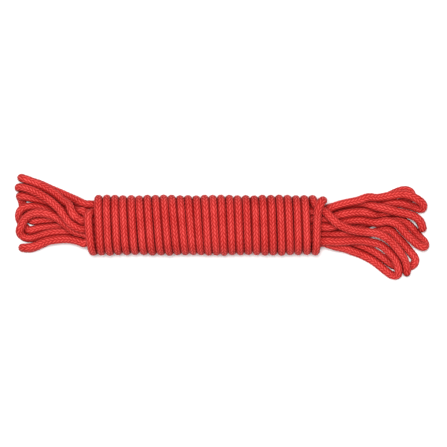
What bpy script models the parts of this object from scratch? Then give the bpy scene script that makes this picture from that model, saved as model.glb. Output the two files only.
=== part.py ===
"""Coiled dock line: one braided line folded into a hank and wrapped tightly round its middle.

Run with: blender --background --python part.py

The line is folded to and fro into thirteen runs, which lie side by side in three rows.  The rest of the
line is wound round them from left to right, and its end passes under the last turn and lies out with the
loops at the right.  The folds stand out of both ends of the winding as open loops.

Metres, +Z up.  X runs along the hank, and the origin is under the middle of its box, on the surface that
it lies on.  The routes below are in millimetres from the middle of the winding, at floor height.
"""

import math

import bpy
from mathutils import Vector

MM = 0.001

# The line and the gap that touching solids keep
LINE_DIAMETER = 8.0 * MM
GAP = 0.3 * MM

# The winding: the stadium-shaped tunnel of turns round the runs
WINDING_LENGTH = 231.0 * MM
CORE_WIDTH = 43.0 * MM
CORE_HEIGHT = 22.8 * MM

# The runs inside: three rows, four over five over four, a little more than a diameter apart
RUN_PITCH = 8.3 * MM
ROW_PITCH = 7.2 * MM

WINDING_WIDTH = CORE_WIDTH + 2 * LINE_DIAMETER
WINDING_HEIGHT = CORE_HEIGHT + 2 * LINE_DIAMETER
AXIS_HEIGHT = WINDING_HEIGHT / 2
END_FACE = WINDING_LENGTH / 2

# A tube leaves the end face along the hank for this far, and its route starts from this far inside
STUB = 2.5 * MM
GUIDE = 11.5 * MM

# How closely a tube's straight pieces follow its smooth route, and the longest of them
CHORD_ERROR = 0.35 * MM
LONGEST_PIECE = 20.0 * MM
FINE_STEP = 1.0 * MM

TUBE_RESOLUTION = 2
ARC_STEPS = 16
LINE_COLOUR = (0.62, 0.035, 0.03, 1.0)
SHADED_COLOUR = (0.36, 0.015, 0.015, 1.0)

# Where the strands leave the end faces, where that isn't straight out of their runs' places: the outer turns
# have pressed them together, and at the left they fill the room that the last run leaves as it rises
LEFT_END_PLACES = {
    "M1": (20.0, 19.0), "M2": (8.3, 19.2), "T2": (13.1, 26.2), "T3": (5.0, 27.0), "T4": (-3.2, 26.9),
    "M4": (-8.5, 19.8),
}
RIGHT_END_PLACES = {
    "T1": (14.0, 26.6), "T2": (5.4, 27.0), "T3": (-2.8, 27.0), "T4": (-14.6, 25.9),
    "M1": (16.4, 18.9), "M4": (-8.6, 19.4), "M5": (-17.6, 18.4),
}

# Loops at the left: the place in the section where each one leaves the runs, its route in millimetres
# out and back, and the place where it goes in again.  T, M and B are the top, middle and bottom rows.
LEFT_LOOPS = {
    "left_loop_1": ("M1", [
        (-122.5, 22.5, 17), (-131.5, 26.5, 10.5), (-142, 31.5, 6), (-151.5, 35.5, 4.5), (-164, 41, 4),
        (-172, 43, 4), (-179, 45.5, 4.5), (-181, 46.5, 8.5), (-178, 45.5, 12.5), (-170, 43, 13),
        (-161, 38.5, 13), (-151.5, 33, 13), (-143, 28, 15), (-137.5, 23, 25.5), (-131, 14, 31),
        (-124.5, 6.5, 29),
    ], "T3"),
    "left_loop_2": ("B1", [
        (-121.5, 14, 10), (-132.5, 19.5, 4.5), (-144.5, 23, 4), (-154.5, 27, 4), (-164, 31.5, 4),
        (-172, 34, 4.5), (-180, 36, 4.5), (-184, 36.5, 8.5), (-179, 37, 13), (-168, 33.5, 17),
        (-159, 28.5, 20), (-151, 23.5, 22), (-145, 17.5, 25.5), (-138.5, 10.5, 26.5), (-132.5, 3, 26),
        (-126.5, -2.5, 27),
    ], "T4"),
    "left_loop_3": ("M3", [
        (-128, 1, 17.5), (-133.5, 5, 7.5), (-138, 6.5, 4.5), (-148, 6.5, 4.5), (-156, 6.5, 4),
        (-165, 6, 4), (-172.5, 5.5, 4), (-177.5, 13.5, 4), (-180.5, 22.5, 4.5), (-182, 27, 6),
        (-182.5, 28, 9.5), (-178, 27.5, 12.5), (-165, 25.5, 12), (-157, 23.5, 12.5), (-148.5, 20.5, 12.5),
        (-142, 17.5, 17), (-134.5, 16.5, 20), (-125, 15, 24),
    ], "T2"),
    "left_loop_4": ("B2", [
        (-122.5, 3.5, 8.5), (-129, -2, 4.5), (-142.5, -2.5, 4.5), (-152, -2, 4), (-161, -2.5, 4),
        (-170.5, -4, 4), (-175.5, -3, 4), (-181.5, 3, 4.5), (-183.5, 9.5, 9), (-180.5, 15, 13),
        (-174.5, 18, 13), (-165, 17, 13), (-155.5, 14, 14), (-147, 10.5, 13), (-141, 10.5, 12.5),
        (-132.5, 12.5, 12), (-126, 9, 17.5),
    ], "M2"),
    "left_loop_5": ("B3", [
        (-127, -6, 12), (-136.5, -6.5, 12), (-149.5, -6.5, 11.5), (-158.5, -9.5, 9), (-166, -12, 5.5),
        (-173, -12.5, 4.5), (-178, -12, 4.5), (-182, -8.5, 7), (-182, -3, 12), (-177, 5, 14),
        (-171.5, 9.5, 17), (-163, 11.5, 21), (-155, 11, 22), (-148.5, 9.5, 22), (-142, 5, 20.5),
        (-137, -2, 20), (-130, -7.5, 20.5),
    ], "M4"),
    "left_loop_6": ("B4", [
        (-122, -14, 9.5), (-134, -13.5, 5), (-146, -13.5, 4), (-155.5, -16.5, 4), (-164.5, -21, 4),
        (-172, -23, 4), (-178.5, -22.5, 4.5), (-180, -22, 8.5), (-175, -21.5, 13), (-166.5, -20, 13),
        (-159, -18, 13), (-150.5, -15.5, 13.5), (-144, -15, 13), (-136, -15, 14), (-129, -17, 17.5),
    ], "M5"),
}

# Loops at the right, in the same way
RIGHT_LOOPS = {
    "right_loop_1": ("T1", [
        (121.5, 16.5, 27.5), (130, 20, 25), (139.5, 22, 22), (149, 26.5, 22), (159, 28.5, 20.5),
        (168.5, 27.5, 16), (178.5, 29, 15), (188, 30, 14.5), (196.5, 29.5, 15), (205, 26, 15),
        (211.5, 20.5, 12), (211.5, 16, 8), (205, 17.5, 6.5), (196, 19.5, 11), (184, 20.5, 13),
        (173.5, 20, 12.5), (164.5, 18.5, 11.5), (155, 14, 11.5), (143, 12, 14), (132.5, 10, 17.5),
    ], "M2"),
    "right_loop_2": ("M1", [
        (123, 18, 18), (131, 17.5, 13.5), (139.5, 20, 12.5), (149, 21.5, 14), (158, 20, 19),
        (168, 18, 20.5), (176.5, 15.5, 20.5), (184.5, 13, 20), (193, 11.5, 18.5), (202, 9, 17),
        (209, 3.5, 15.5), (212, -3.5, 11.5), (211.5, 0.5, 6.5), (205.5, 8, 4.5), (196, 11.5, 4),
        (188.5, 13, 4.5), (180.5, 12.5, 8), (171.5, 11, 11.5), (162, 11, 18), (152.5, 12, 21),
        (143, 13, 23), (134, 11.5, 26), (126, 7.5, 27.5),
    ], "T2"),
    "right_loop_3": ("B2", [
        (126, 5.5, 9.5), (140, 11, 4.5), (150.5, 16.5, 4), (161.5, 22.5, 4), (172.5, 27, 4), (184, 31, 4),
        (192, 34, 4), (199, 33.5, 4), (202, 28.5, 4), (195.5, 24.5, 4), (183.5, 21.5, 4), (173, 17.5, 4),
        (161.5, 11, 4.5), (151, 7, 6), (140.5, 3.5, 12), (130.5, 0.5, 17),
    ], "M3"),
    "right_loop_4": ("B3", [
        (128, -4, 9), (141, -2, 4.5), (150, -2, 4), (161, 1.5, 4), (170, 5, 4), (180.5, 4.5, 4),
        (190.5, 4, 4), (199.5, 1, 4), (205, -5.5, 4), (210.5, -11.5, 4.5), (214, -17, 5.5), (214, -21, 9),
        (211.5, -21, 12), (206, -19, 12.5), (200, -13.5, 12.5), (193.5, -7, 12.5), (187, 0, 12.5),
        (178.5, 3.5, 13), (171.5, 2.5, 14.5), (162, 2, 16.5), (152.5, 3.5, 18), (143.5, 4.5, 20),
        (136, 3, 24), (127.5, -2, 27),
    ], "T3"),
    "right_loop_5": ("B4", [
        (125, -13.5, 10), (133, -15, 6), (143.5, -17, 4.5), (152.5, -20, 4), (161, -24, 4), (169, -29, 4),
        (176.5, -34.5, 4), (182.5, -38.5, 4), (189, -40.5, 4), (196, -39.5, 4), (202, -39.5, 4.5),
        (205.5, -34, 5), (201.5, -27.5, 4.5), (195, -20, 4), (188, -12, 4), (181, -5, 4.5),
        (172, -4, 6.5), (164, -7.5, 9), (154, -8.5, 11.5), (142, -9.5, 14), (131.5, -9, 18),
    ], "M4"),
    "right_loop_6": ("M5", [
        (126.5, -20, 16.5), (134.5, -23, 10), (142.5, -25.5, 6.5), (149, -28, 4.5), (155.5, -31, 4),
        (162.5, -35, 4), (170.5, -41, 4), (178.5, -46.5, 4.5), (185, -49.5, 6.5), (187.5, -46, 11.5),
        (185, -36, 13), (179, -26.5, 12.5), (170, -19, 13.5), (159.5, -16.5, 16), (149.5, -15, 18.5),
        (138, -16, 21), (126.5, -15.5, 25.5),
    ], "T4"),
}

# The line's end, from the last turn of the winding, over the runs and out between the last two loops
TAIL_ROUTE = [
    (121.5, 7.5, 36), (125.5, 2.5, 35.5), (133, -1.5, 34.5), (139.5, -4, 30), (149.5, -6, 26),
    (159, -7.5, 23.5), (169, -9.5, 21.5), (178, -14.5, 19.5), (185.5, -22, 17), (191.5, -30.5, 14.5),
    (195.5, -40.5, 13), (196.5, -49, 8),
]
TAIL_START_Y = 10.0 * MM


def clear_scene():
    for old in list(bpy.data.objects):
        bpy.data.objects.remove(old, do_unlink=True)


def make_collection(name):
    collection = bpy.data.collections.new(name)
    bpy.context.scene.collection.children.link(collection)
    return collection


def make_material(name, colour, roughness):
    material = bpy.data.materials.new(name)
    material.use_nodes = True
    shader = material.node_tree.nodes["Principled BSDF"]
    shader.inputs["Base Color"].default_value = colour
    shader.inputs["Roughness"].default_value = roughness
    shader.inputs["Metallic"].default_value = 0.0
    return material


def slot_centre(slot):
    """Where a run lies in the section: its row's letter, and its number from the +Y side."""
    row, number = slot[0], int(slot[1])
    if row == "M":
        return (3 - number) * RUN_PITCH, AXIS_HEIGHT
    step = ROW_PITCH if row == "T" else -ROW_PITCH
    return (2.5 - number) * RUN_PITCH, AXIS_HEIGHT + step


def smooth_curve(points):
    """Points about FINE_STEP apart on the Catmull-Rom curve through the route's points."""
    ends = [2 * points[0] - points[1]] + points + [2 * points[-1] - points[-2]]
    fine = []
    for before, here, there, after in zip(ends, ends[1:], ends[2:], ends[3:]):
        steps = max(2, math.ceil((there - here).length / FINE_STEP))
        for i in range(steps):
            t = i / steps
            fine.append(
                here
                + (there - before) * (t / 2)
                + (2 * before - 5 * here + 4 * there - after) * (t * t / 2)
                + (3 * here - before - 3 * there + after) * (t**3 / 2)
            )
    fine.append(points[-1])
    return fine


def chord_error(fine, first, last):
    """How far the curve between two of its points strays from the straight line between them."""
    start = fine[first]
    along = (fine[last] - start).normalized()
    offsets = ((p - start) - along * (p - start).dot(along) for p in fine[first:last])
    return max(offset.length for offset in offsets)


def thinned(fine):
    """The fewest of the curve's points whose chords stay close to it."""
    kept = [0]
    for i in range(1, len(fine)):
        too_long = (fine[i] - fine[kept[-1]]).length > LONGEST_PIECE
        if too_long or chord_error(fine, kept[-1], i) > CHORD_ERROR:
            kept.append(i - 1)
    kept.append(len(fine) - 1)
    return [fine[i] for i in sorted(set(kept))]


def route_points(route):
    return [Vector(point) * MM for point in route]


def loop_path(side, start, route, finish):
    """A loop's tube: a short straight stub off the end face, the smooth route, and a stub back."""
    face = side * (END_FACE + GAP)
    end_places = LEFT_END_PLACES if side < 0 else RIGHT_END_PLACES
    stubs = []
    for slot in (start, finish):
        if slot in end_places:
            y, z = (place * MM for place in end_places[slot])
        else:
            y, z = slot_centre(slot)
        inside = Vector((face - side * GUIDE, y, z))
        stubs.append((inside, Vector((face, y, z)), Vector((face + side * STUB, y, z))))
    (guide_in, face_in, stub_in), (guide_out, face_out, stub_out) = stubs
    fine = smooth_curve([guide_in, stub_in] + route_points(route) + [stub_out, guide_out])
    outside = [p for p in fine if side * p.x > abs(stub_in.x) + FINE_STEP / 2]
    return [face_in, stub_in] + thinned(outside)[1:-1] + [stub_out, face_out]


def tail_path():
    """The line's end: it comes out level from under the last turn, on top of the runs."""
    level = WINDING_HEIGHT - LINE_DIAMETER / 2
    face = Vector((END_FACE + GAP, TAIL_START_Y, level))
    stub = face + Vector((STUB, 0, 0))
    guide = face - Vector((GUIDE, -GUIDE, 0))
    fine = smooth_curve([guide, stub] + route_points(TAIL_ROUTE))
    outside = [p for p in fine if p.x > stub.x + FINE_STEP / 2]
    return [face, stub] + thinned(outside)[1:]


def make_tube(name, path, material, collection, holder):
    curve = bpy.data.curves.new(name, "CURVE")
    curve.dimensions = "3D"
    curve.bevel_depth = LINE_DIAMETER / 2
    curve.bevel_resolution = TUBE_RESOLUTION
    curve.use_fill_caps = True
    spline = curve.splines.new("POLY")
    spline.points.add(len(path) - 1)
    for point, place in zip(spline.points, path):
        point.co = (*place, 1.0)
    curve.materials.append(material)
    return place_object(name, curve, collection, holder)


def stadium(width, height):
    """The outline of a stadium lying on its flat side, with round ends, anticlockwise."""
    radius = height / 2
    centre = width / 2 - radius
    outline = []
    for side, start in ((1, -math.pi / 2), (-1, math.pi / 2)):
        for i in range(ARC_STEPS + 1):
            angle = start + math.pi * i / ARC_STEPS
            outline.append((side * centre + radius * math.cos(angle), radius * math.sin(angle)))
    return outline


def make_prism(name, outlines, length, material, collection, holder):
    """Closed outlines in the section plane, extruded along the hank about the winding's middle."""
    curve = bpy.data.curves.new(name, "CURVE")
    curve.dimensions = "2D"
    curve.fill_mode = "BOTH"
    curve.extrude = length / 2
    for outline in outlines:
        spline = curve.splines.new("POLY")
        spline.points.add(len(outline) - 1)
        for point, (y, z) in zip(spline.points, outline):
            point.co = (y, z, 0.0, 1.0)
        spline.use_cyclic_u = True
    curve.materials.append(material)
    prism = place_object(name, curve, collection, holder)
    prism.rotation_euler = (math.pi / 2, 0.0, math.pi / 2)
    prism.location = (0.0, 0.0, AXIS_HEIGHT)
    return prism


def place_object(name, data, collection, holder):
    made = bpy.data.objects.new(name, data)
    collection.objects.link(made)
    made.parent = holder
    return made


def stand_at_origin(holder, pieces):
    """Moves the holder so that the origin is under the middle of the whole hank's box."""
    bpy.context.view_layer.update()
    depsgraph = bpy.context.evaluated_depsgraph_get()
    corners = []
    for piece in pieces:
        evaluated = piece.evaluated_get(depsgraph)
        mesh = evaluated.to_mesh()
        corners += [piece.matrix_world @ vertex.co for vertex in mesh.vertices]
        evaluated.to_mesh_clear()
    for axis in (0, 1):
        values = [corner[axis] for corner in corners]
        holder.location[axis] = -(min(values) + max(values)) / 2


def build():
    clear_scene()
    collection = make_collection("coiled_dock_line")
    holder = bpy.data.objects.new("hank", None)
    collection.objects.link(holder)
    outer = make_material("line_red", LINE_COLOUR, 0.6)
    inner = make_material("line_red_shaded", SHADED_COLOUR, 0.7)

    ring = [stadium(WINDING_WIDTH, WINDING_HEIGHT), stadium(CORE_WIDTH, CORE_HEIGHT)]
    fill = [stadium(CORE_WIDTH - 2 * GAP, CORE_HEIGHT - 2 * GAP)]
    pieces = [
        make_prism("winding", ring, WINDING_LENGTH, outer, collection, holder),
        make_prism("folded_runs", fill, WINDING_LENGTH, inner, collection, holder),
    ]
    for side, loops in ((-1, LEFT_LOOPS), (1, RIGHT_LOOPS)):
        for name, (start, route, finish) in loops.items():
            path = loop_path(side, start, route, finish)
            pieces.append(make_tube(name, path, outer, collection, holder))
    pieces.append(make_tube("tail", tail_path(), outer, collection, holder))
    stand_at_origin(holder, pieces)


build()
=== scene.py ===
"""Coiled dock line: the look of one braided line, folded into a hank and wrapped round its middle.

The line is one smooth centreline, 9 m long: thirteen straight runs inside the winding, the twelve folds
that join them outside it, then the turns of the winding, and the end that passes under the last turn.
Its braided cover is real relief on a tube that is swept along that centreline.  The tube is cut into
pieces, with the cuts hidden inside and under the winding.

Metres, +Z up.  Sizes and routes are in millimetres, from the middle of the winding at floor height, and
become metres where a mesh or a path is made.
"""

import math

import bpy
import numpy as np
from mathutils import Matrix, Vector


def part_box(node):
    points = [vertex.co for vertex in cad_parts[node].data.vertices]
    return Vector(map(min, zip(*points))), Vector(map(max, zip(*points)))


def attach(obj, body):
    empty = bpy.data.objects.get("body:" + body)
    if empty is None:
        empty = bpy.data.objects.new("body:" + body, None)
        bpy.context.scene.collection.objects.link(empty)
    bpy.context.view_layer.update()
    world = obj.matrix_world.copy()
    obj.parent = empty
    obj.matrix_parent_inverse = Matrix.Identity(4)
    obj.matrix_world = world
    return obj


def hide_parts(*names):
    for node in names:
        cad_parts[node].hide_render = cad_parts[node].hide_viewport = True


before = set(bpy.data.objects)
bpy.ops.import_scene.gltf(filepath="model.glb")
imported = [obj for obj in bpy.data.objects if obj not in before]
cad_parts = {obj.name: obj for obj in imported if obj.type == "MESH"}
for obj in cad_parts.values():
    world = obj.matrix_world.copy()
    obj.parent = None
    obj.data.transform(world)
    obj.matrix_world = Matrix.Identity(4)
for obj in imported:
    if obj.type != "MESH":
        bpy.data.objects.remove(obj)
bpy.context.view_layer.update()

MM = 0.001

# ---------------------------------------------------------------- the line and the hank, in millimetres
LINE_DIAMETER = 8.0
WINDING_LENGTH = 231.0
END_FACE = WINDING_LENGTH / 2
AXIS_HEIGHT = 19.4
RUN_PITCH = 8.3
ROW_PITCH = 7.2

# A loop's stretch is cut this far inside the winding.  At RUN_DEPTHS inside the end face it still lies
# in its run's place in the rows, and at EXIT_DEPTHS it has moved to where it comes out.
CUT_DEPTH = 32.0
RUN_DEPTHS = (CUT_DEPTH, 22.0)
EXIT_DEPTHS = (5.0, -1.5)

# The first run starts here, inside the winding
FIRST_END_X = 78.0

# The line's centre in a turn of the winding: a stadium of this half width and half height
TURN_HALF_WIDTH = 25.4
TURN_HALF_HEIGHT = 15.4
WHOLE_TURNS = 26

# Where the turns lie along the winding.  A turn's top edge is at +Y and its bottom edge at -Y.  The
# turns lean between the two, the most near LEAN_MIDDLE.
FIRST_TOP_X = -104.2
TURN_PITCH = 7.98
TOP_BOW = 1.1
LEAN = 2.5
LEAN_HUMP = 3.3
LEAN_MIDDLE = 9.5
LEAN_SPREAD = 5.5

# The line crosses the top of the runs here, a quarter of a turn before its first -Y edge.  The turns are
# laid out from just after that place.
FIRST_CROSSING_X = -112.8
FIRST_CROSSING = 0.25
FIRST_PHASE = 0.27
PLACES_PER_TURN = 96

# No turn lies quite evenly.  Waves along the winding: the size, the rate in radians per turn, the start
SWAY_WAVES = ((0.09, 4.1, 0.5), (0.05, 9.7, 2.0))
SWELL_WAVES = ((0.012, 0.9, 0.0), (0.008, 2.7, 1.0))

# The last turn's way round the -Y edge, in turns, and along the winding
LAST_EDGE_PHASES = (0.36, 0.64)
LAST_EDGE_PLACES = 7
LAST_EDGE_X = 106.5
LAST_EDGE_DRIFT = 0.6

# The turns after which the winding is cut, underneath, into the groups that are pieces of their own
TURNS_AT_CUTS = (5, 12, 19, 26)

# The braid: sixteen yarns, eight each way, each over two and under two
YARNS_EACH_WAY = 8
STITCH = 3.9
YARN_CROWN = 0.7
YARN_WEAVE = 0.4
YARN_ROUNDNESS = 0.985
RANKS = 4
RANK_START = 1 / 32
CROSSING_SHARPNESS = 2.4
GAP_DEPTH = 0.12
# How far the crowns stand past the nominal radius while nothing pulls on the line
SLACK_SWELL = 0.16
# How far the plain skin of a run inside the winding stays under the crowns
RUN_THINNING = 0.3

# The melted end: how far the melt reaches and how much thinner it is, then the rounding of the tip
SEALED_LENGTH = 5.0
SEALED_THINNING = 0.75
TIP_LENGTH = 2.2
TIP_ROUNDING = 0.9

# How deep in the relief the melt and the cut faces count, from 0 in a gap to 1 on a crown
SEALED_TONE = 0.3
CUT_TONE = 0.2

# The swept mesh
SIDES = 48
RING_STEP = 0.7
HIDDEN_STEP = 9.0
CURVE_STEPS = 16
RINGS_PER_PATH_POINT = 3

# Settling: strands that lie in each other are pressed apart to this distance, in many small sweeps
RELAX_STEP = 1.5
TOUCHING = LINE_DIAMETER + 0.05
SWEEPS = 70
SWEEPS_PER_SEARCH = 7
SEARCH_MARGIN = 2.5
OWN_REACH = 13.5
PRESS = 1.3
EVENING = (0.45, -0.46)
PULL_BACK = 0.01
# Only this part of the hank takes part, and in the winding only the last turns are free to move
SETTLED_FROM_X = 84.0
FREE_OUTSIDE_X = END_FACE + 1.0
FREE_TURNS_FROM_X = 97.0
FREE_TURNS_FROM_LENGTH = 3450.0

# Loops at the left: the place in the section where each one leaves the runs, its route out and back,
# and the place where it goes in again.  T, M and B are the top, middle and bottom rows of runs.
LEFT_LOOPS = {
    "left_loop_1": ("M1", [
        (-122.5, 22.5, 17), (-131.5, 26.5, 10.5), (-142, 30.5, 6), (-152, 34.5, 4.5), (-164, 40.5, 4),
        (-172, 42.7, 4), (-179, 45.5, 4.5), (-181, 46.3, 8.5), (-178, 45.4, 12.5), (-170, 42.4, 13),
        (-161, 38.2, 13), (-151.5, 33.2, 13), (-143.5, 27.4, 15.5), (-136, 20, 20),
        (-129, 12.3, 24.5), (-122.5, 6.5, 26.5),
    ], "T3"),
    "left_loop_2": ("B1", [
        (-122, 14, 9.5), (-132.5, 20, 4.5), (-144, 24, 4), (-154, 28, 4), (-164, 32, 4), (-172, 34.5, 4.5),
        (-180, 36, 4.5), (-184, 36.5, 8.5), (-179, 37, 12.5), (-168, 33.3, 16.5), (-159, 28.5, 20),
        (-151.3, 23.4, 22), (-144.5, 17.6, 24), (-137.7, 11.3, 26), (-131, 4.3, 27), (-124.5, -1.5, 27),
    ], "T4"),
    "left_loop_3": ("M3", [
        (-124, 3, 16.5), (-131, 6, 9), (-139, 7, 4.5), (-148, 5.5, 4), (-156, 4.8, 4), (-165, 4.2, 4),
        (-173, 5.4, 4), (-178.6, 13.2, 4), (-180.5, 22.5, 4), (-182, 27.3, 6), (-182.3, 28.3, 9.5),
        (-178, 28, 12.5), (-165, 25.3, 12.5), (-157, 23, 12.5), (-149, 19.5, 13), (-141.5, 15.7, 15.5),
        (-134, 12, 17.5), (-126, 11, 22),
    ], "T2"),
    "left_loop_4": ("B2", [
        (-122.5, 3, 8), (-131, 0, 4), (-142, -1.6, 4), (-152, -2.2, 4), (-161, -2.4, 4), (-170, -4.8, 4),
        (-177, -4.2, 4), (-181.5, 2.4, 5.5), (-182.6, 9.5, 9), (-180.5, 15, 12.6), (-174.5, 17.8, 13.2),
        (-165, 17.6, 13.5), (-155, 14.8, 14), (-147, 11, 13.5), (-140, 9.5, 13), (-133, 9, 13.5),
        (-126, 8.5, 16),
    ], "M2"),
    "left_loop_5": ("B3", [
        (-125, -5.5, 10), (-137, -7.2, 9), (-149, -7.6, 9.5), (-158, -9.2, 8), (-166, -11.4, 5),
        (-173, -12.6, 4), (-178, -12, 4.5), (-181, -7.5, 6), (-180.8, -1.5, 10), (-177.6, 5.2, 13.5),
        (-171.2, 10, 17), (-163, 12, 20.5), (-155, 11.3, 22), (-148.4, 9.4, 21.5), (-141.6, 5, 20.5),
        (-135, -0.2, 19.5), (-128, -5, 19),
    ], "M4"),
    "left_loop_6": ("B4", [
        (-123, -14.5, 9), (-134, -13.6, 4.5), (-146, -13.4, 4), (-156, -16, 4), (-165, -20.2, 4),
        (-172, -22.8, 4), (-178.5, -22.5, 4.5), (-180, -22, 8.5), (-175, -21.8, 12.5),
        (-166.5, -20.3, 12.5), (-159, -17, 12.5), (-151, -13.4, 12.5), (-144, -12.2, 12.5),
        (-136, -12.8, 13.5), (-128, -14.6, 16.5),
    ], "M5"),
}

# Loops at the right, in the same way
RIGHT_LOOPS = {
    "right_loop_1": ("T1", [
        (120.5, 16.6, 26), (130, 20, 24.5), (139.7, 22.2, 22.5), (149.4, 24, 20.5), (159, 25.4, 18.5),
        (168.8, 26.8, 16), (178.5, 28.4, 14.5), (188, 30, 14.5), (196.5, 29.6, 15), (205, 25.8, 15),
        (211.5, 20.6, 12), (211.6, 15.8, 8), (205, 17.4, 6.5), (195.5, 20.8, 8.5), (184, 21.3, 11),
        (174, 20, 11.5), (165, 16.5, 11.5), (155, 13, 11.5), (143, 12.5, 12), (130.5, 12.5, 16),
    ], "M2"),
    "right_loop_2": ("M1", [
        (123, 16.8, 17), (131, 17, 13.5), (140, 17.6, 13), (149.4, 18.6, 13.5), (158.5, 18.8, 15.5),
        (167.9, 17.4, 19), (176.6, 15.4, 20.5), (184.6, 13.2, 20), (193, 11.6, 18.5), (201.8, 8.8, 17),
        (208.8, 3.8, 15), (211.5, -3.5, 11), (211, 0, 6.5), (205.5, 8.2, 4.5), (196, 11, 4),
        (188.2, 12.5, 4), (179.5, 12.2, 5.5), (170.7, 11, 9.5), (161, 11.4, 15), (152, 12, 19.5),
        (143, 12, 22.5), (134, 10.8, 25), (125, 8.5, 26.5),
    ], "T2"),
    "right_loop_3": ("B2", [
        (126, 6, 8.5), (140, 11, 4.5), (151, 16, 4), (162, 21, 4), (173, 26, 4), (184, 31, 4),
        (192, 34, 4), (199, 33.5, 4), (202, 28.5, 4), (196, 23.5, 4), (184, 20, 4), (173, 16.5, 4),
        (162, 11, 4.5), (151, 8, 9), (140, 5, 12), (129, 1, 17),
    ], "M3"),
    "right_loop_4": ("B3", [
        (127.5, -3.5, 8.5), (141, 0, 4.5), (150, 2, 4), (160, 4, 4), (170, 5.6, 4), (180.5, 7.2, 4),
        (190.8, 5, 4), (198.6, 0.5, 4), (205, -6, 4), (209.8, -12.2, 4), (214.2, -16.8, 5.5),
        (214, -20.8, 9), (211.4, -21.2, 12), (206.2, -18.8, 12.5), (200.1, -13.4, 12.5),
        (193.7, -7, 12.5), (187.2, 0.2, 12.5), (178.5, 3.6, 12.5), (171, 4, 14), (162, 4.5, 16.5),
        (153, 5.4, 18.5), (143.6, 5, 20.5), (134.8, 3.2, 23), (126, 0, 25.5),
    ], "T3"),
    "right_loop_5": ("B4", [
        (124, -13.5, 9), (133, -15.5, 5.5), (143, -18.5, 4), (152, -21.7, 4), (160, -25, 4),
        (168.7, -29, 4), (176.4, -34.2, 4), (182.4, -38.6, 4), (189, -41, 4), (196, -41.4, 4.5),
        (202, -39.6, 5), (205.3, -34.2, 5), (201.3, -27.6, 4.5), (195.2, -19.9, 4), (188, -12.2, 4),
        (180.8, -5, 4.5), (172, -4, 6.5), (163.9, -7.4, 9), (154, -8.4, 11.5), (142, -9.8, 14.5),
        (130.5, -9.4, 18.5),
    ], "M4"),
    "right_loop_6": ("M5", [
        (125, -20.5, 14), (134.8, -22.5, 9.5), (142.6, -24.3, 6), (149.4, -26.2, 4), (156.2, -29.4, 4),
        (163, -34, 4), (170.9, -40.4, 4), (178.7, -46.6, 4.5), (185, -49.6, 6.5), (188.6, -45.6, 10),
        (185.9, -35.6, 12), (178.9, -26.5, 12.6), (170, -19.2, 13.5), (159.5, -16.4, 16),
        (149.4, -14.6, 18.5), (137.8, -15.2, 21.5), (125, -16, 24),
    ], "T4"),
}

# Where the runs leave the end faces, where that isn't straight out of their places in the rows.  At the
# left the top row has moved over into the room that the last run leaves as it rises for the first turn.
LEFT_END_PLACES = {
    "M1": (20.0, 19.0), "M2": (8.3, 17.6), "T2": (11.0, 25.4), "T3": (5.5, 26.8), "T4": (-2.8, 26.8),
    "M4": (-9.5, 19.6),
}
RIGHT_END_PLACES = {
    "T1": (14.0, 26.6), "T2": (6.3, 26.8), "T3": (-1.8, 26.6), "T4": (-15.6, 24.6),
    "M1": (14.9, 19.0), "M4": (-8.8, 20.2), "M5": (-17.2, 17.2),
}

# The line's way through the hank: each loop that it makes, in turn, between the runs
LOOP_ORDER = [
    "left_loop_2", "right_loop_6", "left_loop_6", "right_loop_5", "left_loop_5", "right_loop_4",
    "left_loop_1", "right_loop_2", "left_loop_3", "right_loop_3", "left_loop_4", "right_loop_1",
]
FIRST_SLOT = "B1"

# From the last run, up and over its own first turn
RISE_ROUTE = [
    (-96, 12.45, 26.6), (-103.5, 12.45, 26.7), (-109, 12.2, 29.0), (-112.3, 9.8, 33.0),
    (-112.9, 5.0, 34.9),
]

# From the last whole turn: across the underside, and up for the last turn, which rides over the end
LAST_TURN_ROUTE = [
    (98.5, -10.1, 4.0), (99.3, -3.0, 4.0), (101.0, 3.0, 4.6), (103.5, 8.0, 7.2), (106.5, 12.8, 10.8),
    (109.6, 17.6, 12.0), (111.4, 21.4, 14.5), (112.0, 22.8, 19.4), (112.0, 22.9, 25.0),
    (111.5, 22.4, 31.0), (110.2, 20.2, 37.0), (108.6, 16.5, 40.2), (107.5, 10.5, 39.0),
    (106.9, 4.0, 36.6), (106.7, -2.5, 35.2), (106.5, -10.1, 34.8),
]

# Under the winding again, up, under the last turn, and out over the runs
END_ROUTE = [
    (105.9, -10.1, 4.0), (105.4, 3.0, 4.0), (104.7, 10.1, 4.0), (104.1, 18.0, 6.2), (103.5, 23.6, 11.8),
    (103.2, 25.3, 19.4), (104.2, 23.6, 26.6), (106.3, 20.4, 30.8), (108.8, 17.4, 32.8),
    (112.2, 14.2, 34.2), (116.5, 11.3, 34.7),
]
TAIL_ROUTE = [
    (119, 8.6, 34.8), (125.5, 2.4, 34.5), (132, -1.3, 32.5), (139.7, -4.2, 29.5), (149.4, -6, 26),
    (159, -6.9, 23.5), (168.8, -8.9, 21.5), (178, -14.4, 19.5), (185.4, -22.1, 17), (191.5, -30.3, 14.5),
    (195, -39.2, 11), (196.4, -48, 7),
]

# ---------------------------------------------------------------- looks, in metres and linear colour
# The dye's red, with painted shade in the gaps between yarns and in the creases, and a painted highlight on
# the crowns
GAP_PAINTED_SHADE_RED = (0.09, 0.0006, 0.0004)
SHADE_RED = (0.26, 0.003, 0.002)
BODY_RED = (0.55, 0.024, 0.020)
CROWN_PAINTED_HIGHLIGHT_RED = (0.84, 0.098, 0.090)
# Painted shade in the creases where strands lie against each other
CREASE_PAINTED_SHADE_RED = (0.20, 0.001, 0.0005)
TONE_STOPS = ((0.0, GAP_PAINTED_SHADE_RED), (0.54, SHADE_RED), (0.82, BODY_RED), (1.0, CROWN_PAINTED_HIGHLIGHT_RED))
# A darker copy of the red for the runs inside the winding: painted shade
INSIDE_PAINTED_SHADE_BRIGHTNESS = 0.6

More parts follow.
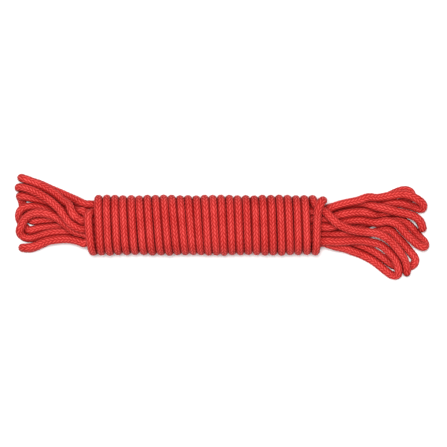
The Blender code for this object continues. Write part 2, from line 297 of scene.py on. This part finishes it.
FILAMENTS_PER_YARN = 5
FILAMENT_WANDER = 2.5
FILAMENT_TONE = 0.22
FILAMENT_HEIGHT = 0.00012
FILAMENT_UNEVENNESS = 0.8
PATCH_TONE = 0.25
FINE_NOISE = {"scale": 900.0, "detail": 3.0}
PATCH_NOISE = {"scale": 55.0, "detail": 4.0}
ROUGHNESS = (0.44, 0.2)
# How far the painted crease shade reaches, how steeply it deepens, and its samples
CREASE_REACH = 0.006
CREASE_POWER = 1.3
CREASE_SAMPLES = 8

# The view from above: how wide it is, and its middle from the middle of the winding
VIEW_WIDTH = 433.6 * MM
VIEW_MIDDLE = (17.0, 1.6)
SENSOR_WIDTH = 36.0
CAMERA_HEIGHT = 1.5
SUBJECT_HEIGHT = 0.022

# Lights: the place from the middle of the view, the size and the power
ABOVE = ((-0.08, 0.16, 2.0), 0.6, 50.0)
RIGHT = ((1.3, -0.6, 1.2), 0.9, 3.0)
AMBIENT = 0.12

FLOOR_HALF = 3.0
FLOOR_DROP = 0.0003
PAPER = (0.93, 0.93, 0.93, 1.0)
PAPER_ROUGHNESS = 0.9


# ---------------------------------------------------------------- lines through points


def slot_place(slot):
    """Where a run lies in the section: its row's letter, and its number from the +Y side."""
    row, number = slot[0], int(slot[1])
    if row == "M":
        return (3 - number) * RUN_PITCH, AXIS_HEIGHT
    step = ROW_PITCH if row == "T" else -ROW_PITCH
    return (2.5 - number) * RUN_PITCH, AXIS_HEIGHT + step


def lengths_along(points):
    """How far along the line each point lies."""
    return np.concatenate([[0.0], np.cumsum(np.linalg.norm(np.diff(points, axis=0), axis=1))])


def resampled(points, step):
    """The same line with points evenly spaced, as near as possible to step apart."""
    along = lengths_along(points)
    count = max(2, int(round(along[-1] / step)) + 1)
    places = np.linspace(0.0, along[-1], count)
    return np.stack([np.interp(places, along, points[:, axis]) for axis in range(3)], axis=1)


def curve_through(points, step):
    """A smooth curve through the points, with points step apart."""
    points = np.array(points, float)
    ends = np.vstack([2 * points[0] - points[1], points, 2 * points[-1] - points[-2]])
    before, here, there, after = (ends[i : len(ends) - 3 + i, None] for i in range(4))
    t = np.linspace(0.0, 1.0, CURVE_STEPS, endpoint=False)[None, :, None]
    curve = (
        here
        + (there - before) * (t / 2)
        + (2 * before - 5 * here + 4 * there - after) * (t * t / 2)
        + (3 * here - before - 3 * there + after) * (t**3 / 2)
    )
    return resampled(np.vstack([curve.reshape(-1, 3), points[-1:]]), step)


# ---------------------------------------------------------------- the centreline


def turn_section(phase):
    """(y, z) of the line's centre: 0 at the +Y edge, 0.25 on top, 0.5 at the -Y edge, 0.75 underneath."""
    radius = TURN_HALF_HEIGHT
    straight = 2 * (TURN_HALF_WIDTH - radius)
    arc = math.pi * radius / 2
    along = (phase % 0.5) * 2 * (2 * arc + straight)
    side = 1 if phase % 1.0 < 0.5 else -1
    if along < arc:
        angle = along / radius
        y, z = straight / 2 + radius * math.cos(angle), radius * math.sin(angle)
    elif along < arc + straight:
        y, z = straight / 2 - (along - arc), radius
    else:
        angle = (along - arc - straight) / radius
        y, z = -straight / 2 - radius * math.sin(angle), radius * math.cos(angle)
    return side * y, AXIS_HEIGHT + side * z


def top_edge_x(turn):
    """Where a turn passes the +Y edge of the winding."""
    bow = math.sin(math.pi * (turn - 1) / (WHOLE_TURNS - 1))
    return FIRST_TOP_X + TURN_PITCH * (turn - 1) - TOP_BOW * bow


def bottom_edge_x(turn):
    """Where a turn passes the -Y edge, half a turn later."""
    hump = math.exp(-(((turn - LEAN_MIDDLE) / LEAN_SPREAD) ** 2))
    return top_edge_x(turn) + LEAN + LEAN_HUMP * hump


def waves(phases, terms):
    return sum(size * np.sin(phases * rate + start) for size, rate, start in terms)


def turns_line():
    """The whole turns, from the top of the first one, laid over the runs, to the last one's -Y edge."""
    keys = [(FIRST_CROSSING, FIRST_CROSSING_X), (0.5, bottom_edge_x(0))]
    for turn in range(1, WHOLE_TURNS + 1):
        keys += [(turn, top_edge_x(turn)), (turn + 0.5, bottom_edge_x(turn))]
    key_phase, key_x = np.array(keys).T
    phases = np.arange(FIRST_PHASE, WHOLE_TURNS + 0.5, 1 / PLACES_PER_TURN)
    xs = np.interp(phases, key_phase, key_x) + waves(phases, SWAY_WAVES)
    line = []
    for phase, x, grow in zip(phases, xs, 1 + waves(phases, SWELL_WAVES)):
        y, z = turn_section(phase)
        line.append((x, y * grow, z))
    return np.array(line)


def last_edge():
    """The last turn's way round the -Y edge, from the top to the underside."""
    start, end = LAST_EDGE_PHASES
    places = []
    for phase in np.linspace(start, end, LAST_EDGE_PLACES):
        y, z = turn_section(phase)
        places.append((LAST_EDGE_X - LAST_EDGE_DRIFT * (phase - start) / (end - start), y, z))
    return places


def loop_line(side, start, route, finish):
    """A loop, from the cut inside the winding, straight out of the end face, and back to the cut."""
    exits = LEFT_END_PLACES if side < 0 else RIGHT_END_PLACES
    ends = []
    for slot in (start, finish):
        y, z = slot_place(slot)
        inside = [(side * (END_FACE - depth), y, z) for depth in RUN_DEPTHS]
        y, z = exits.get(slot, (y, z))
        ends.append(inside + [(side * (END_FACE - depth), y, z) for depth in EXIT_DEPTHS])
    return ends[0] + list(route) + ends[1][::-1]


def winding_line():
    """The winding: up from the last run, round it in turns, then under the last turn and out."""
    turns = turns_line()
    rise = curve_through(RISE_ROUTE + [tuple(turns[2])], RELAX_STEP)
    over_and_out = list(turns[-1:]) + LAST_TURN_ROUTE + last_edge() + END_ROUTE + TAIL_ROUTE
    last_turns = curve_through(over_and_out, RELAX_STEP)
    return np.vstack([rise[:-1], resampled(turns[2:], RELAX_STEP), last_turns[1:]])


def hank_lines():
    """Every stretch of the line in turn: its name and its points."""
    stretches = []
    slot = FIRST_SLOT
    x = FIRST_END_X
    for number, name in enumerate(LOOP_ORDER, start=1):
        side, loops = (-1, LEFT_LOOPS) if name in LEFT_LOOPS else (1, RIGHT_LOOPS)
        start, route, finish = loops[name]
        if start != slot:
            start, route, finish = finish, route[::-1], start
        cut = side * (END_FACE - CUT_DEPTH)
        y, z = slot_place(slot)
        stretches.append((f"run_{number}", np.array([(x, y, z), (cut, y, z)])))
        stretches.append((name, curve_through(loop_line(side, start, route, finish), RELAX_STEP)))
        slot = finish
        x = cut
    y, z = slot_place(slot)
    last_run = np.array([(x, y, z), (RISE_ROUTE[0][0], y, z)])
    stretches.append((f"run_{len(LOOP_ORDER) + 1}", last_run))
    stretches.append(("winding", winding_line()))
    return stretches


# ---------------------------------------------------------------- resting against each other


def close_pairs(points, strand, place, free):
    """Pairs of points that may come to touch: not both fixed, and not near each other on one strand."""
    square = (points**2).sum(1)
    gap = square[:, None] + square[None] - 2 * points @ points.T
    first, second = np.nonzero(np.triu(gap < (TOUCHING + SEARCH_MARGIN) ** 2, 1))
    own = (strand[first] == strand[second]) & (np.abs(place[first] - place[second]) * RELAX_STEP < OWN_REACH)
    wanted = ~own & (free[first] | free[second])
    return first[wanted], second[wanted]


def pressed_apart(points, pairs, free):
    """The points, each moved away from those of other strands that it lies in."""
    first, second = pairs
    between = points[first] - points[second]
    distance = np.linalg.norm(between, axis=1)
    touching = distance < TOUCHING
    first, second, between, distance = (part[touching] for part in (first, second, between, distance))
    push = between * ((TOUCHING - distance) / np.maximum(distance, 1e-6))[:, None]
    share = free[first] / np.maximum(free[first].astype(float) + free[second], 1)
    move = np.zeros_like(points)
    count = np.zeros(len(points))
    np.add.at(move, first, push * share[:, None])
    np.add.at(move, second, -push * (1 - share)[:, None])
    np.add.at(count, first, 1.0)
    np.add.at(count, second, 1.0)
    return points + np.where(free[:, None], move / np.maximum(count, 1)[:, None] * PRESS, 0)


def evened_out(points, inner, amount):
    """The points, each moved by a part of the way to the middle between its neighbours."""
    middle = np.zeros_like(points)
    middle[1:-1] = (points[:-2] + points[2:]) / 2 - points[1:-1]
    return points + np.where(inner[:, None], middle * amount, 0)


def inside_points(strand, place):
    """Which points have a neighbour on both sides in their own strand."""
    follows = np.zeros(len(strand), bool)
    follows[1:] = (strand[1:] == strand[:-1]) & (place[1:] == place[:-1] + 1)
    inside = follows.copy()
    inside[:-1] &= follows[1:]
    inside[-1] = False
    return inside


def settle(stretches):
    """Presses the loops and the ends of the winding apart wherever they lie in each other.

    Points inside the winding stay.  Each sweep pushes points of different strands apart to a
    diameter, evens out what that bends, and keeps everything above the floor.
    """
    lines = dict(stretches)
    names = [name for name in lines if not name.startswith("run_")]
    points = np.vstack([lines[name] for name in names])
    strand = np.concatenate([np.full(len(lines[name]), i) for i, name in enumerate(names)])
    place = np.concatenate([np.arange(len(lines[name])) for name in names])
    last_turns = (strand == names.index("winding")) & (points[:, 0] > FREE_TURNS_FROM_X)
    last_turns &= place * RELAX_STEP > FREE_TURNS_FROM_LENGTH
    free = (np.abs(points[:, 0]) > FREE_OUTSIDE_X) | last_turns
    kept = np.abs(points[:, 0]) > SETTLED_FROM_X
    points, strand, place, free = points[kept], strand[kept], place[kept], free[kept]
    inner = inside_points(strand, place) & free
    start = points.copy()
    for sweep in range(SWEEPS):
        if sweep % SWEEPS_PER_SEARCH == 0:
            pairs = close_pairs(points, strand, place, free)
        points = pressed_apart(points, pairs, free)
        for amount in EVENING:
            points = evened_out(points, inner, amount)
        points = points + np.where(free[:, None], (start - points) * PULL_BACK, 0)
        points[:, 2] = np.where(free, np.maximum(points[:, 2], LINE_DIAMETER / 2), points[:, 2])
    for i, name in enumerate(names):
        mine = strand == i
        lines[name][place[mine]] = points[mine]
    return list(lines.items())


# ---------------------------------------------------------------- frames along the line


def carried_frames(points):
    """Two directions square to the line at every point, carried along it without twist."""
    tangents = np.gradient(points, axis=0)
    tangents /= np.linalg.norm(tangents, axis=1)[:, None]
    normals = np.zeros_like(points)
    first = np.cross(tangents[0], (0.0, 0.0, 1.0))
    normals[0] = first / np.linalg.norm(first)
    for i in range(len(points) - 1):
        step = points[i + 1] - points[i]
        mirrored = normals[i] - step * (2 * (step @ normals[i]) / (step @ step))
        turned = tangents[i] - step * (2 * (step @ tangents[i]) / (step @ step))
        onward = tangents[i + 1] - turned
        size = onward @ onward
        if size > 1e-12:
            mirrored = mirrored - onward * (2 * (onward @ mirrored) / size)
        normals[i + 1] = mirrored / np.linalg.norm(mirrored)
    return normals, np.cross(tangents, normals)


# ---------------------------------------------------------------- the braided cover


def braid_relief(around, along):
    """Height of the cover over its base, and 0 in its gaps to 1 on its crowns.

    around is 0 to 1 round the line, along is in stitches.  Yarns of one direction lie on top in four
    ranks round the line, and those of the other direction in the four ranks between them.
    """
    right = np.abs(2 * ((YARNS_EACH_WAY * around - along) % 1.0) - 1)
    left = np.abs(2 * ((YARNS_EACH_WAY * around + along) % 1.0) - 1)
    over = np.tanh(CROSSING_SHARPNESS * np.cos(2 * np.pi * RANKS * (around - RANK_START)))
    heights = [
        YARN_CROWN * np.sqrt(1 - (YARN_ROUNDNESS * across) ** 2) + YARN_WEAVE * sign * over
        for across, sign in ((right, 1), (left, -1))
    ]
    height = np.maximum(*heights)
    span = YARN_CROWN + YARN_WEAVE
    return height, np.clip((height + GAP_DEPTH) / (span + GAP_DEPTH), 0, 1)


def tube_radii(along, detailed, sealed):
    """The tube's radius at each side of each ring, and how far up the relief that is, from 0 to 1."""
    around = np.arange(SIDES) / SIDES
    relief, depth = braid_relief(around[None], along[:, None] / STITCH)
    crown_radius = LINE_DIAMETER / 2 + SLACK_SWELL
    radius = crown_radius - (YARN_CROWN + YARN_WEAVE) + relief
    if not detailed:
        radius = np.full_like(radius, crown_radius - RUN_THINNING)
    if sealed:
        to_end = along[-1] - along
        melt = np.clip(1 - to_end / SEALED_LENGTH, 0, 1)[:, None]
        soft = melt * melt * (3 - 2 * melt)
        radius = radius * (1 - soft) + (crown_radius - SEALED_THINNING) * soft
        rounding = np.clip(1 - to_end / TIP_LENGTH, 0, 1)
        radius = radius * np.sqrt(1 - TIP_ROUNDING * rounding**2)[:, None]
        depth = depth * (1 - soft) + SEALED_TONE * soft
    return radius, depth


def tube_faces(rings):
    """The tube's faces as vertex numbers: quads from ring to ring, and a fan of triangles at each end."""
    j = np.arange(SIDES)
    following = (j + 1) % SIDES
    ring = np.arange(rings - 1)[:, None] * SIDES
    quads = np.stack([ring + j, ring + following, ring + SIDES + following, ring + SIDES + j], axis=-1)
    last = (rings - 1) * SIDES
    first_fan = np.stack([np.full(SIDES, rings * SIDES), following, j], axis=-1)
    last_fan = np.stack([np.full(SIDES, rings * SIDES + 1), last + j, last + following], axis=-1)
    return quads.reshape(-1, 4), np.vstack([first_fan, last_fan])


def braid_coordinates(quads, fans, along, depth):
    """For each corner of the faces: round the line, along it in stitches, and up its relief."""
    rings = len(along)
    corners = np.concatenate([quads.ravel(), fans.ravel()])
    ring_of, side_of = np.divmod(corners, SIDES)
    ring_of = np.minimum(ring_of, rings - 1)
    ring_of[corners == rings * SIDES] = 0
    round_the_line = side_of / SIDES
    closing = np.zeros(len(corners), bool)
    closing[: quads.size] = (quads[:, [0]] % SIDES == SIDES - 1).repeat(4, axis=1).ravel()
    round_the_line[closing & (side_of == 0)] = 1.0
    up = depth[ring_of, side_of]
    on_axis = corners >= rings * SIDES
    round_the_line[on_axis] = 0.0
    up[on_axis] = CUT_TONE
    return np.stack([round_the_line, along[ring_of] / STITCH, up], axis=1)


def mesh_from(name, vertices, quads, fans):
    """A smooth mesh of quads and triangles."""
    corners = np.concatenate([quads.ravel(), fans.ravel()])
    sizes = np.concatenate([np.full(len(quads), 4), np.full(len(fans), 3)])
    starts = np.concatenate([[0], np.cumsum(sizes)[:-1]])
    mesh = bpy.data.meshes.new(name)
    mesh.vertices.add(len(vertices))
    mesh.vertices.foreach_set("co", vertices.astype(np.float32).ravel())
    mesh.loops.add(len(corners))
    mesh.loops.foreach_set("vertex_index", corners.astype(np.int32))
    mesh.polygons.add(len(sizes))
    mesh.polygons.foreach_set("loop_start", starts.astype(np.int32))
    mesh.update(calc_edges=True)
    mesh.polygons.foreach_set("use_smooth", np.ones(len(sizes), bool))
    return mesh


def swept_mesh(name, centres, normals, sides, along, detailed, sealed):
    """A closed tube round the centreline, in metres, with the braid's coordinates on its corners."""
    radius, depth = tube_radii(along, detailed, sealed)
    angles = 2 * np.pi * np.arange(SIDES) / SIDES
    cosines, sines = np.cos(angles)[None, :, None], np.sin(angles)[None, :, None]
    outward = cosines * normals[:, None] + sines * sides[:, None]
    skin = centres[:, None] + radius[:, :, None] * outward
    skin[:, :, 2] = np.maximum(skin[:, :, 2], 0.0)
    vertices = np.vstack([skin.reshape(-1, 3), centres[:1], centres[-1:]]) * MM + ORIGIN
    quads, fans = tube_faces(len(centres))
    mesh = mesh_from(name, vertices, quads, fans)
    coordinates = braid_coordinates(quads, fans, along, depth)
    attribute = mesh.attributes.new("braid", "FLOAT_VECTOR", "CORNER")
    attribute.data.foreach_set("vector", coordinates.astype(np.float32).ravel())
    mesh.validate()
    return mesh


# ---------------------------------------------------------------- materials


class Nodes:
    """Short hands for building a node tree."""

    def __init__(self, material):
        material.use_nodes = True
        self.tree = material.node_tree
        self.shader = self.tree.nodes["Principled BSDF"]

    def link(self, source, target):
        self.tree.links.new(source, target)

    def add(self, kind, **settings):
        node = self.tree.nodes.new(kind)
        for key, value in settings.items():
            setattr(node, key, value)
        return node

    def feed(self, sockets, values):
        """Sets each socket to its value, or links it to the value where that is another socket."""
        for socket, value in zip(sockets, values):
            if isinstance(value, (int, float, tuple)):
                socket.default_value = value
            else:
                self.link(value, socket)

    def math(self, operation, *values):
        node = self.add("ShaderNodeMath", operation=operation)
        self.feed(node.inputs, values)
        return node.outputs[0]

    def mix(self, factor, first, second):
        node = self.add("ShaderNodeMix", data_type="RGBA")
        self.feed((node.inputs[0], node.inputs[6], node.inputs[7]), (factor, first, second))
        return node.outputs[2]

    def ramp(self, factor, stops):
        node = self.add("ShaderNodeValToRGB")
        elements = node.color_ramp.elements
        while len(elements) < len(stops):
            elements.new(0.5)
        for element, (position, colour) in zip(elements, stops):
            element.position = position
            element.color = (*colour, 1.0)
        self.link(factor, node.inputs[0])
        return node.outputs[0]

    def noise(self, coordinates, scale, detail):
        node = self.add("ShaderNodeTexNoise")
        node.inputs["Scale"].default_value = scale
        node.inputs["Detail"].default_value = detail
        self.link(coordinates, node.inputs["Vector"])
        return node.outputs["Fac"]


def across_top_yarn(n, around, along):
    """Which yarn is on top, and 0 to 1 across it."""
    eighths = n.math("MULTIPLY", around, float(YARNS_EACH_WAY))
    right = n.math("FRACT", n.math("SUBTRACT", eighths, along))
    left = n.math("FRACT", n.math("ADD", eighths, along))
    turn = n.math("MULTIPLY", n.math("SUBTRACT", around, RANK_START), 2 * RANKS * math.pi)
    right_on_top = n.math("GREATER_THAN", n.math("COSINE", turn), 0.0)
    left_on_top = n.math("SUBTRACT", 1.0, right_on_top)
    return n.math("ADD", n.math("MULTIPLY", right, right_on_top), n.math("MULTIPLY", left, left_on_top))


def filament_lines(n, across, unevenness):
    """0 to 1 across each of the fine filaments that lie along a yarn."""
    wander = n.math("MULTIPLY", unevenness, FILAMENT_WANDER)
    lines = n.math("MULTIPLY", across, 2 * math.pi * FILAMENTS_PER_YARN)
    return n.math("MULTIPLY", n.math("ADD", n.math("SINE", n.math("ADD", lines, wander)), 1.0), 0.5)


def dye_and_painted_relief_light(n, depth, filaments, patches, brightness):
    """The dye's red by the depth of the relief, with painted shade in the gaps and a painted highlight on
    the crowns, varied by the filaments and by slow changes along the hank.
    """
    tone = n.math("ADD", depth, n.math("MULTIPLY", n.math("SUBTRACT", filaments, 0.5), FILAMENT_TONE))
    tone = n.math("ADD", tone, n.math("MULTIPLY", n.math("SUBTRACT", patches, 0.5), PATCH_TONE))
    # From painted shade in the gaps, through the dye's red, to a painted highlight on the crowns
    stops = [(place, tuple(brightness * c for c in red)) for place, red in TONE_STOPS]
    return n.ramp(tone, stops)


def painted_shade_in_creases(n, colour):
    """Painted shade where strands lie against each other, mixed in as a dark red."""
    crease = n.add("ShaderNodeAmbientOcclusion", samples=CREASE_SAMPLES)
    crease.inputs["Distance"].default_value = CREASE_REACH
    openness = n.math("POWER", crease.outputs["AO"], CREASE_POWER)
    return n.mix(openness, (*CREASE_PAINTED_SHADE_RED, 1.0), colour)


def braid_material(name, brightness):
    """Red yarn: a painted highlight on the crowns, painted shade in the gaps, with fine filaments along each
    yarn.
    """
    material = bpy.data.materials.new(name)
    n = Nodes(material)
    braid = n.add("ShaderNodeAttribute", attribute_name="braid")
    split = n.add("ShaderNodeSeparateXYZ")
    n.link(braid.outputs["Vector"], split.inputs[0])
    around, along, depth = split.outputs
    place = n.add("ShaderNodeTexCoord").outputs["Object"]
    unevenness = n.noise(place, **FINE_NOISE)
    patches = n.noise(place, **PATCH_NOISE)
    filaments = filament_lines(n, across_top_yarn(n, around, along), unevenness)

    colour = dye_and_painted_relief_light(n, depth, filaments, patches, brightness)
    n.link(painted_shade_in_creases(n, colour), n.shader.inputs["Base Color"])
    base_roughness, varied_roughness = ROUGHNESS
    roughness = n.math("ADD", base_roughness, n.math("MULTIPLY", unevenness, varied_roughness))
    n.link(roughness, n.shader.inputs["Roughness"])
    n.shader.inputs["Specular IOR Level"].default_value = 0.06
    n.shader.inputs["Sheen Weight"].default_value = 0.02
    n.shader.inputs["Sheen Roughness"].default_value = 0.4
    n.shader.inputs["Sheen Tint"].default_value = (1.0, 0.55, 0.5, 1.0)

    bump = n.add("ShaderNodeBump")
    bump.inputs["Strength"].default_value = 0.5
    bump.inputs["Distance"].default_value = FILAMENT_HEIGHT
    n.link(
        n.math("ADD", filaments, n.math("MULTIPLY", unevenness, FILAMENT_UNEVENNESS)), bump.inputs["Height"]
    )
    n.link(bump.outputs["Normal"], n.shader.inputs["Normal"])
    return material


# ---------------------------------------------------------------- studio


def make_camera(centre):
    """Straight above the hank, as wide as the view in which it is shown."""
    data = bpy.data.cameras.new("camera")
    data.sensor_width = SENSOR_WIDTH
    data.lens = data.sensor_width * (CAMERA_HEIGHT - SUBJECT_HEIGHT) / VIEW_WIDTH
    camera = bpy.data.objects.new("camera", data)
    camera.location = (centre[0], centre[1], CAMERA_HEIGHT)
    bpy.context.scene.collection.objects.link(camera)
    bpy.context.scene.camera = camera


def area_light(name, centre, offset, size, power):
    """A square softbox, turned towards the middle of the view."""
    data = bpy.data.lights.new(name, "AREA")
    data.size = size
    data.energy = power
    light = bpy.data.objects.new(name, data)
    light.location = (centre[0] + offset[0], centre[1] + offset[1], offset[2])
    aim = -Vector(offset)
    light.rotation_euler = aim.to_track_quat("-Z", "Y").to_euler()
    bpy.context.scene.collection.objects.link(light)


def make_floor():
    """A pale sheet, just under the hank."""
    mesh = bpy.data.meshes.new("floor")
    half = FLOOR_HALF
    corners = [(-half, -half, 0), (half, -half, 0), (half, half, 0), (-half, half, 0)]
    mesh.from_pydata(corners, [], [(0, 1, 2, 3)])
    floor = bpy.data.objects.new("floor", mesh)
    floor.location = (0, 0, -FLOOR_DROP)
    bpy.context.scene.collection.objects.link(floor)
    material = bpy.data.materials.new("pale_paper")
    material.use_nodes = True
    shader = material.node_tree.nodes["Principled BSDF"]
    shader.inputs["Base Color"].default_value = PAPER
    shader.inputs["Roughness"].default_value = PAPER_ROUGHNESS
    mesh.materials.append(material)


def make_studio(centre):
    """Soft light from above, a little from the right, an even surround and the floor."""
    world = bpy.data.worlds.new("studio")
    bpy.context.scene.world = world
    world.use_nodes = True
    world.node_tree.nodes["Background"].inputs[0].default_value = (1.0, 1.0, 1.0, 1.0)
    world.node_tree.nodes["Background"].inputs[1].default_value = AMBIENT
    bpy.context.scene.view_settings.view_transform = "Standard"
    area_light("softbox_above", centre, *ABOVE)
    area_light("softbox_right", centre, *RIGHT)
    make_floor()


# ---------------------------------------------------------------- building it


def cut_winding(stretches):
    """The stretches with the winding cut, underneath, into four groups of turns and its free end."""
    *before, (_, line) = stretches
    going_under = (line[:-1, 1] < 0) & (line[1:, 1] >= 0) & (line[1:, 2] < LINE_DIAMETER)
    under = np.flatnonzero(going_under)
    breaks = [0, *(under[turn] for turn in TURNS_AT_CUTS), len(line) - 1]
    labels = ["winding_turns_1", "winding_turns_2", "winding_turns_3", "winding_turns_4", "tail"]
    groups = [(label, line[a : b + 1]) for label, a, b in zip(labels, breaks, breaks[1:])]
    return before + groups


def declare_cord(piece, rings, hidden):
    """Attaches a piece of the line to the root body and works out the way that it takes."""
    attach(piece, "root")
    path = rings[:: 1 if hidden else RINGS_PER_PATH_POINT]
    path = np.vstack([path, rings[-1:]]) * MM + ORIGIN


def make_rope():
    """The whole line, as its pieces by name, in their order along it."""
    stretches = hank_lines()
    stretches = settle(stretches)
    stretches = cut_winding(stretches)
    lines = [
        resampled(line, HIDDEN_STEP) if name.startswith("run_") else curve_through(line, RING_STEP)
        for name, line in stretches
    ]
    whole = np.vstack([lines[0]] + [line[1:] for line in lines[1:]])
    along = lengths_along(whole)
    normals, sides = carried_frames(whole)
    outer = braid_material("line_red", 1.0)
    # The runs inside the winding get the darker copy: painted shade
    inner = braid_material("line_red_painted_shade_inside", INSIDE_PAINTED_SHADE_BRIGHTNESS)
    pieces = {}
    first = 0
    for (name, _), line in zip(stretches, lines):
        last = first + len(line) - 1
        span = slice(first, last + 1)
        hidden = name.startswith("run_")
        mesh = swept_mesh(
            name, whole[span], normals[span], sides[span], along[span], not hidden, name == "tail"
        )
        mesh.materials.append(inner if hidden else outer)
        piece = bpy.data.objects.new(name + ("_braid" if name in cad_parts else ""), mesh)
        bpy.context.scene.collection.objects.link(piece)
        declare_cord(piece, whole[span], hidden)
        pieces[name] = piece
        first = last
    return pieces


def replace_solids(pieces):
    """Each piece stands for its own solid, or for the runs' or the winding's one."""
    for name, piece in pieces.items():
        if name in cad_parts:
            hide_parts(name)
        elif name.startswith("run_"):
            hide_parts("folded_runs")
        else:
            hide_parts("winding")


winding_low, winding_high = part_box("winding")
ORIGIN = np.array([(winding_low.x + winding_high.x) / 2, (winding_low.y + winding_high.y) / 2, 0.0])
view_centre = (ORIGIN[0] + VIEW_MIDDLE[0] * MM, ORIGIN[1] + VIEW_MIDDLE[1] * MM)

make_camera(view_centre)
replace_solids(make_rope())
make_studio(view_centre)
